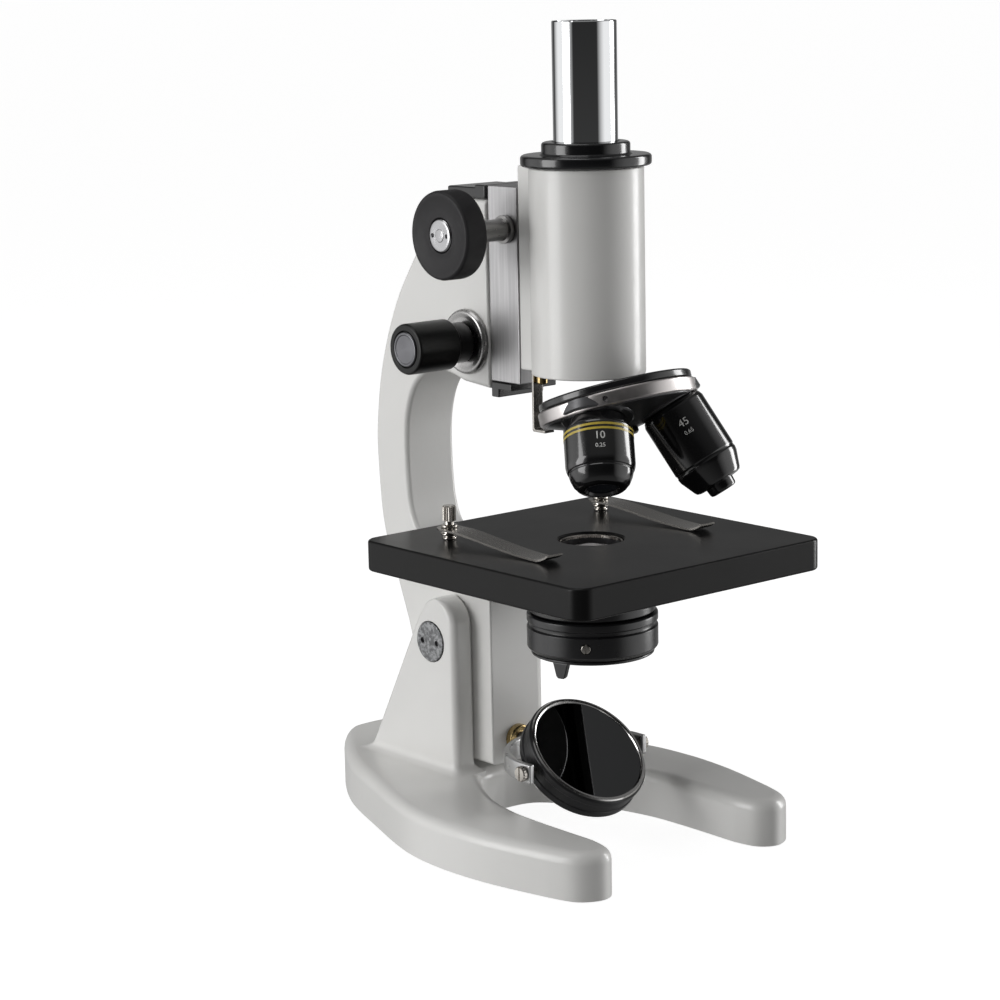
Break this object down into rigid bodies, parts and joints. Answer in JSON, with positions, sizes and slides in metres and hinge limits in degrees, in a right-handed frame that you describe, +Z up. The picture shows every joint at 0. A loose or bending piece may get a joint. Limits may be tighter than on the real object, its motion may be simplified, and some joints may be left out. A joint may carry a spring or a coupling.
{
  "type": "student microscope",
  "caption": "Upright student microscope: horseshoe base, tilting limb, square stage with clips, swivel mirror, coarse and fine focus, turning nosepiece and a plain tube.",
  "frame": {"origin": "middle of the footprint (stage front to heel of the base) on the table", "axes": "+Z up along the upright optical axis; -Y is the stage's front, where the mirror and the objectives face; +X is to the right of someone looking along +Y"},
  "size_m": [0.138, 0.217, 0.327],
  "materials": {
    "enamel": "pale warm grey enamel over cast iron, soft semi-gloss",
    "black_enamel": "black enamel, glossy enough to mirror the clips",
    "black_knob": "black moulded knob, satin face with fine turned rings",
    "steel": "ground and polished steel",
    "dark_steel": "blackened steel with worn highlights",
    "chrome": "bright chrome plate, mirror gloss",
    "aluminium": "turned aluminium, satin",
    "brass": "turned brass, slightly dulled",
    "rubber": "matt black rubber",
    "glass": "polished lens glass",
    "mirror_glass": "silvered glass"
  },
  "bodies": {
    "stand": {"base_casting": "enamel", "heel_pad": "rubber", "left_pad": "rubber", "right_pad": "rubber", "pivot_bolt": "steel", "pivot_cap_left": "dark_steel", "pivot_cap_right": "dark_steel"},
    "limb": {"limb": "enamel", "head_cover": "black_enamel", "fine_escutcheon_left": "steel", "fine_escutcheon_right": "steel", "stage": "black_enamel", "stage_set_screw": "dark_steel", "clip_pin_left": "steel", "clip_pin_right": "steel", "condenser_mount": "black_enamel", "condenser_lens": "glass", "iris_housing": "black_enamel", "iris_screw": "steel", "fork_bush": "brass"},
    "left_clip": {"clip_leaf_left": "steel", "clip_screw_left": "steel"},
    "right_clip": {"clip_leaf_right": "steel", "clip_screw_right": "steel"},
    "iris": {"iris_lever": "black_enamel"},
    "fork": {"mirror_fork": "steel", "mirror_screw_left": "steel", "mirror_screw_right": "steel"},
    "mirror": {"mirror_frame": "black_enamel", "plane_mirror": "mirror_glass", "concave_mirror": "mirror_glass"},
    "fine_slide": {"slide_block": "steel", "slide_stop": "black_enamel", "pinion_sleeve_left": "steel", "pinion_sleeve_right": "steel"},
    "fine_drive": {"fine_shaft": "steel", "fine_knob_left": "black_knob", "fine_knob_right": "black_knob", "fine_cap_left": "aluminium", "fine_cap_right": "aluminium"},
    "coarse_drive": {"pinion_shaft": "steel", "coarse_knob_left": "black_knob", "coarse_knob_right": "black_knob", "coarse_cap_left": "chrome", "coarse_cap_right": "chrome"},
    "tube": {"body_tube": "enamel", "rack": "steel", "tube_flange": "black_enamel", "nosepiece_plate": "black_enamel", "detent_spring": "steel", "detent_screw": "brass"},
    "drawtube": {"drawtube": "chrome"},
    "nosepiece": {"nosepiece_turret": "dark_steel", "nosepiece_screw": "steel", "objective_low": "black_enamel", "objective_medium": "black_enamel", "objective_high": "black_enamel"}
  },
  "joints": [
    {"name": "inclination", "type": "hinge", "parent": "stand", "child": "limb", "pos_m": [0, 0.0295, 0.0743], "axis": [-1, 0, 0], "range_deg": [0, 90]},
    {"name": "left_clip_swivel", "type": "hinge", "parent": "limb", "child": "left_clip", "pos_m": [-0.0406, -0.0047, 0.1296], "axis": [0, 0, 1], "range_deg": [-75, 12]},
    {"name": "right_clip_swivel", "type": "hinge", "parent": "limb", "child": "right_clip", "pos_m": [0.0406, -0.0047, 0.1296], "axis": [0, 0, 1], "range_deg": [-12, 75]},
    {"name": "iris_turn", "type": "hinge", "parent": "limb", "child": "iris", "pos_m": [0, -0.0435, 0.08], "axis": [0, 0, 1], "range_deg": [-30, 30]},
    {"name": "fork_turn", "type": "hinge", "parent": "limb", "child": "fork", "pos_m": [0, 0.0015, 0.0335], "axis": [0, 1, 0], "range_deg": [-40, 40]},
    {"name": "mirror_tilt", "type": "hinge", "parent": "fork", "child": "mirror", "pos_m": [0, -0.0365, 0.0335], "axis": [1, 0, 0], "continuous": true},
    {"name": "fine_focus", "type": "slide", "parent": "limb", "child": "fine_slide", "axis": [0, 0, 1], "range_m": [-0.001, 0.001]},
    {"name": "fine_knob_turn", "type": "hinge", "parent": "limb", "child": "fine_drive", "pos_m": [0, 0.0145, 0.1997], "axis": [1, 0, 0], "range_deg": [-905, 905]},
    {"name": "coarse_focus", "type": "slide", "parent": "fine_slide", "child": "tube", "axis": [0, 0, 1], "range_m": [-0.0035, 0.04]},
    {"name": "coarse_knob_turn", "type": "hinge", "parent": "fine_slide", "child": "coarse_drive", "pos_m": [0, -0.0093, 0.2462], "axis": [1, 0, 0], "range_deg": [-548, 50]},
    {"name": "drawtube_slide", "type": "slide", "parent": "tube", "child": "drawtube", "axis": [0, 0, 1], "range_m": [0, 0.03]},
    {"name": "nosepiece_turn", "type": "hinge", "parent": "tube", "child": "nosepiece", "pos_m": [0, -0.05995, 0.181], "axis": [0, -0.3256, -0.9455], "continuous": true}
  ],
  "couplings": [
    {"joint": "coarse_knob_turn", "follows": "coarse_focus", "rad_per_m": -238.1},
    {"joint": "fine_knob_turn", "follows": "fine_focus", "rad_per_m": 15708}
  ]
}
